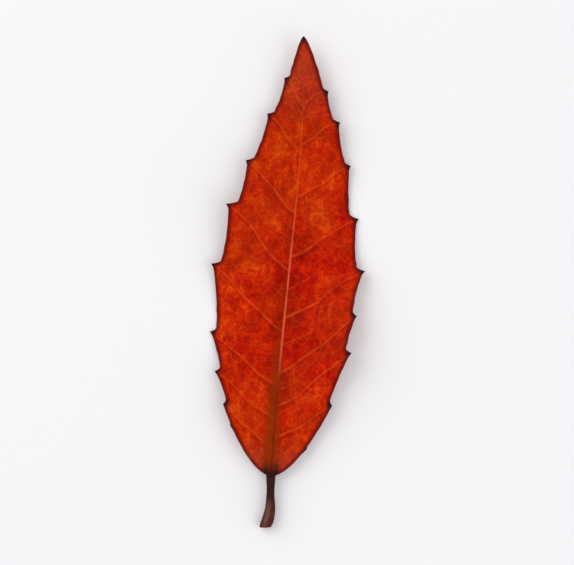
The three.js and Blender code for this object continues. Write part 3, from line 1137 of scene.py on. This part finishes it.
def stalk_material(groups):
    """Dark stalk, browner towards its end, with lengthwise streaks, a pale flank and a paler scar."""
    material, tree, shader = new_material("leaf_stalk")
    mottling = use_group(tree, groups["mottling"], {"Blotch size": 2.5, "Freckles": 0.6, "Flecks": 0.0})
    pith = use_group(tree, groups["cells"], {"Cell size": 0.26, "Line width": 0.05})
    streaks = noise(tree, millimetres(tree, STALK_STREAKS), scale=1.0, detail=4.0, rough=0.65)
    towards_end = by_station(tree, BROWNER_END)
    streaky = between(tree, streaks, *STALK_STREAK_RANGE)
    light = weighted(tree, (streaky, 0.5), (towards_end, 0.4), start=-0.1)
    colour = blend(tree, light, STALK_DARK, STALK_PURPLE)
    colour = tinge(tree, colour, STALK_RED, mottling["Blotches"], towards_end, by=0.7)

    from_flank = calc(tree, "ABSOLUTE", calc(tree, "SUBTRACT", measure(tree, "midrib"), FLANK_PLACE))
    pale_flank = times(
        tree,
        between(tree, from_flank, *FLANK_WIDTH),
        by_station(tree, FLANK_START),
        by_station(tree, FLANK_END),
    )
    colour = tinge(tree, colour, STALK_GREY, pale_flank, streaks, by=0.7)
    colour = tinge(tree, colour, STALK_DARK, mottling["Freckles"], by=0.5)

    scar = blend(tree, mottling["Grain"], SCAR_BROWN, SCAR_TAN)
    scar = tinge(tree, scar, SCAR_BROWN, pith["Borders"], by=0.5)
    scar = toned(tree, scar, pith["Tone"], spread=0.5)
    on_scar = by_station(tree, (-STALK_LENGTH, SCAR_STATION))
    colour = tinge(tree, colour, scar, on_scar, by=0.85)

    rough = weighted(tree, (streaks, 0.2), start=0.5)
    height = weighted(tree, (streaks, 0.7), (mottling["Grain"], 0.3))
    finish_shader(tree, shader, colour, rough, height, bump_mm=0.08, specular=0.08)
    return material


def add_object(name, data):
    """A new object of the scene."""
    thing = bpy.data.objects.new(name, data)
    bpy.context.scene.collection.objects.link(thing)
    return thing


def make_leaf():
    """The skin of the leaf with its three materials, in the place of the solid."""
    groups = {
        "mottling": mottling_group(),
        "veins": veins_group(),
        "cells": cells_group(),
        "rim": rim_group(),
    }
    mesh = leaf_mesh()
    for make in (upper_face_material, underside_material, stalk_material):
        mesh.materials.append(make(groups))
    leaf = add_object("leaf_skin", mesh)
    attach(leaf, "root")
    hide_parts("leaf")


def make_floor():
    """A plain pale floor."""
    mesh = bpy.data.meshes.new("floor")
    corners = [(x * FLOOR_REACH, y * FLOOR_REACH, 0) for x, y in ((-1, -1), (1, -1), (1, 1), (-1, 1))]
    mesh.from_pydata(corners, [], [(0, 1, 2, 3)])
    material, _, shader = new_material("floor_paper")
    for name, value in FLOOR_FINISH.items():
        shader.inputs[name].default_value = value
    mesh.materials.append(material)
    floor = add_object("floor", mesh)


def make_light(name, spot, size, watts):
    """A soft square lamp facing the leaf."""
    lamp = bpy.data.lights.new(name, "AREA")
    lamp.size = size
    lamp.energy = watts
    light = add_object(name, lamp)
    light.location = spot
    light.rotation_euler = (-Vector(spot)).to_track_quat("-Z", "Y").to_euler()


def make_lighting():
    """Soft lamps low at either side, so that the flat blade has no glare, and a dim even surround."""
    make_light("key_light", *KEY_LIGHT)
    make_light("fill_light", *FILL_LIGHT)
    world = bpy.data.worlds.new("studio")
    world.use_nodes = True
    surround = world.node_tree.nodes["Background"].inputs
    surround["Color"].default_value = (1.0, 1.0, 1.0, 1.0)
    surround["Strength"].default_value = SURROUND
    bpy.context.scene.world = world
    bpy.context.scene.view_settings.view_transform = "Standard"


def make_camera():
    """Looks straight down on the leaf, which fills most of the height of the picture."""
    low, high = (Vector(corner) for corner in cad_box)
    middle = (low + high) / 2
    picture_height = (high.y - low.y) / PICTURE_SHARE
    picture_width = picture_height * PICTURE_SIZE[0] / PICTURE_SIZE[1]
    camera = bpy.data.cameras.new("camera")
    camera.lens = camera.sensor_width * CAMERA_DISTANCE / picture_width
    camera.clip_start = 0.01
    viewer = add_object("camera", camera)
    viewer.location = (middle.x, middle.y, CAMERA_DISTANCE)
    viewer.rotation_euler = (0.0, 0.0, math.radians(LEAN_DEG))
    bpy.context.scene.camera = viewer


make_camera()
make_lighting()
make_floor()
make_leaf()
